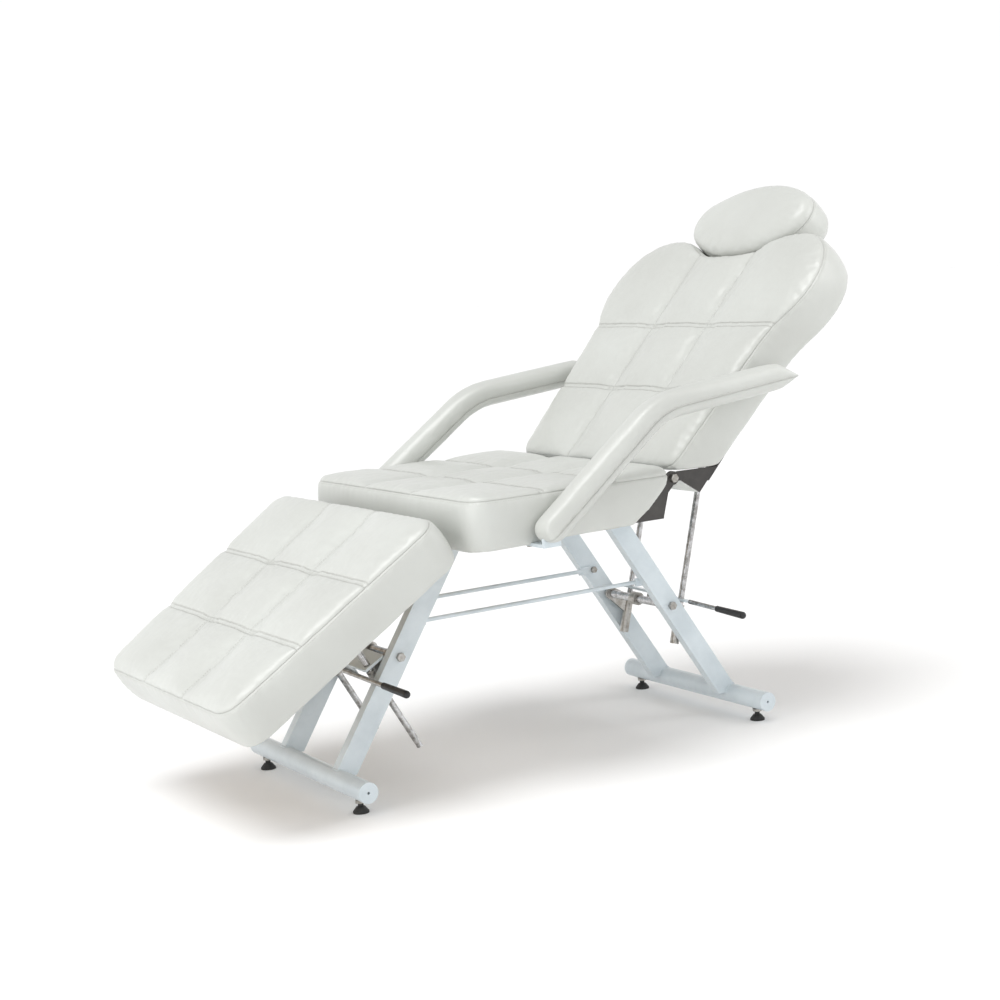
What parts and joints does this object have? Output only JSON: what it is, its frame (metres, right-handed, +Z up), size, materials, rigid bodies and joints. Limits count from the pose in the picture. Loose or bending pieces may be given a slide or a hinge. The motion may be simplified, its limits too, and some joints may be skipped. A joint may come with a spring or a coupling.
{
  "type": "tattoo chair",
  "caption": "Upholstered tattoo chair with tilting back and legrest, sliding headrest, curved arms and a splayed steel base with friction rod locks",
  "frame": {"origin": "on the floor under the middle of the chair's overall box", "axes": "+X towards the headrest, +Y to the sitter's left, +Z up"},
  "size_m": [1.4718, 0.7614, 1.0515],
  "materials": {
    "upholstery": "satin",
    "plywood": "matte",
    "white_paint": "satin",
    "dark_steel": "satin",
    "chromed_steel": "polished",
    "zinc_steel": "satin",
    "black_plastic": "matte",
    "black_rubber": "matte"
  },
  "bodies": {
    "frame": {"arm_bar_left": "white_paint", "arm_bar_right": "white_paint", "arm_bolts": "zinc_steel", "arm_pad_left": "upholstery", "arm_pad_right": "upholstery", "floor_tube_caps": "white_paint", "foot_nuts": "zinc_steel", "front_floor_tube": "white_paint", "front_leg_left": "white_paint", "front_leg_right": "white_paint", "legrest_hinge_lugs": "dark_steel", "rear_floor_tube": "white_paint", "rear_leg_left": "white_paint", "rear_leg_right": "white_paint", "seat_board": "plywood", "seat_cross_rail": "white_paint", "seat_cushion": "upholstery", "seat_hinge_plate_left": "dark_steel", "seat_hinge_plate_right": "dark_steel", "seat_rail_left": "white_paint", "seat_rail_right": "white_paint", "tie_rod_bolts": "zinc_steel", "tie_rod_left": "white_paint", "tie_rod_right": "white_paint"},
    "backrest": {"back_hinge_plate_left": "dark_steel", "back_hinge_plate_right": "dark_steel", "back_hinge_web": "white_paint", "back_hinge_bolts": "zinc_steel", "back_board": "plywood", "back_cushion": "upholstery", "back_rod_brackets": "white_paint", "headrest_sockets": "zinc_steel"},
    "headrest": {"headrest_posts": "chromed_steel", "headrest_board": "plywood", "headrest_cushion": "upholstery"},
    "legrest": {"legrest_board": "plywood", "legrest_cushion": "upholstery", "legrest_hinge_arms": "dark_steel", "legrest_hinge_pins": "zinc_steel", "legrest_rod_brackets": "white_paint"},
    "back_lock": {"rear_cross_shaft": "chromed_steel", "rear_shaft_bolts": "zinc_steel", "back_lock_brackets": "zinc_steel"},
    "back_lock_rods": {"back_rods": "chromed_steel", "back_rod_pins": "zinc_steel"},
    "back_release": {"back_lock_bar": "white_paint", "back_release_lever": "chromed_steel", "back_lever_grip": "black_plastic"},
    "legrest_lock": {"front_cross_shaft": "chromed_steel", "front_shaft_bolts": "zinc_steel", "legrest_lock_brackets": "zinc_steel"},
    "legrest_lock_rods": {"legrest_rods": "chromed_steel", "legrest_rod_pins": "zinc_steel"},
    "legrest_release": {"legrest_lock_bar": "white_paint", "legrest_release_lever": "zinc_steel", "legrest_lever_grip": "black_plastic"},
    "foot_front_left": {"levelling_foot_front_left": "black_rubber"},
    "foot_front_right": {"levelling_foot_front_right": "black_rubber"},
    "foot_rear_left": {"levelling_foot_rear_left": "black_rubber"},
    "foot_rear_right": {"levelling_foot_rear_right": "black_rubber"}
  },
  "joints": [
    {"name": "back_tilt", "type": "hinge", "parent": "frame", "child": "backrest", "pos_m": [0.20376, 0, 0.517], "axis": [0, -1, 0], "range_deg": [-46.7, 10]},
    {"name": "headrest_height", "type": "slide", "parent": "backrest", "child": "headrest", "axis": [0.6858, 0, 0.7278], "range_m": [0, 0.06]},
    {"name": "legrest_tilt", "type": "hinge", "parent": "frame", "child": "legrest", "pos_m": [-0.26924, 0, 0.4365], "axis": [0, -1, 0], "range_deg": [-34.2, 8]},
    {"name": "back_lock_turn", "type": "hinge", "parent": "frame", "child": "back_lock", "pos_m": [0.28559, 0, 0.244], "axis": [0, -1, 0], "range_deg": [-16.6, 3.7]},
    {"name": "back_rod_travel", "type": "slide", "parent": "back_lock", "child": "back_lock_rods", "axis": [0.2545, 0, 0.9671], "range_m": [-0.1669, 0.0359]},
    {"name": "back_release_pull", "type": "hinge", "parent": "back_lock", "child": "back_release", "pos_m": [0.28763, 0, 0.25174], "axis": [-0.9671, 0, 0.2545], "range_deg": [0, 4], "stiffness_Nm_per_rad": 6, "springref_deg": -11.46},
    {"name": "legrest_lock_turn", "type": "hinge", "parent": "frame", "child": "legrest_lock", "pos_m": [-0.32408, 0, 0.244], "axis": [0, -1, 0], "range_deg": [-4, 1]},
    {"name": "legrest_rod_travel", "type": "slide", "parent": "legrest_lock", "child": "legrest_lock_rods", "axis": [-0.4895, 0, 0.872], "range_m": [-0.026, 0.1111]},
    {"name": "legrest_release_pull", "type": "hinge", "parent": "legrest_lock", "child": "legrest_release", "pos_m": [-0.32799, 0, 0.25098], "axis": [-0.872, 0, -0.4895], "range_deg": [0, 4], "stiffness_Nm_per_rad": 6, "springref_deg": -11.46},
    {"name": "foot_front_left_screw", "type": "slide", "parent": "frame", "child": "foot_front_left", "axis": [0, 0, 1], "range_m": [-0.01, 0.005]},
    {"name": "foot_front_right_screw", "type": "slide", "parent": "frame", "child": "foot_front_right", "axis": [0, 0, 1], "range_m": [-0.01, 0.005]},
    {"name": "foot_rear_left_screw", "type": "slide", "parent": "frame", "child": "foot_rear_left", "axis": [0, 0, 1], "range_m": [-0.01, 0.005]},
    {"name": "foot_rear_right_screw", "type": "slide", "parent": "frame", "child": "foot_rear_right", "axis": [0, 0, 1], "range_m": [-0.01, 0.005]}
  ],
  "couplings": [
    {"joint": "back_lock_turn", "follows": "back_tilt", "ratio": 0.3527},
    {"joint": "back_rod_travel", "follows": "back_tilt", "m_per_rad": 0.2042},
    {"joint": "legrest_lock_turn", "follows": "legrest_tilt", "ratio": 0.1146},
    {"joint": "legrest_rod_travel", "follows": "legrest_tilt", "m_per_rad": -0.186}
  ]
}
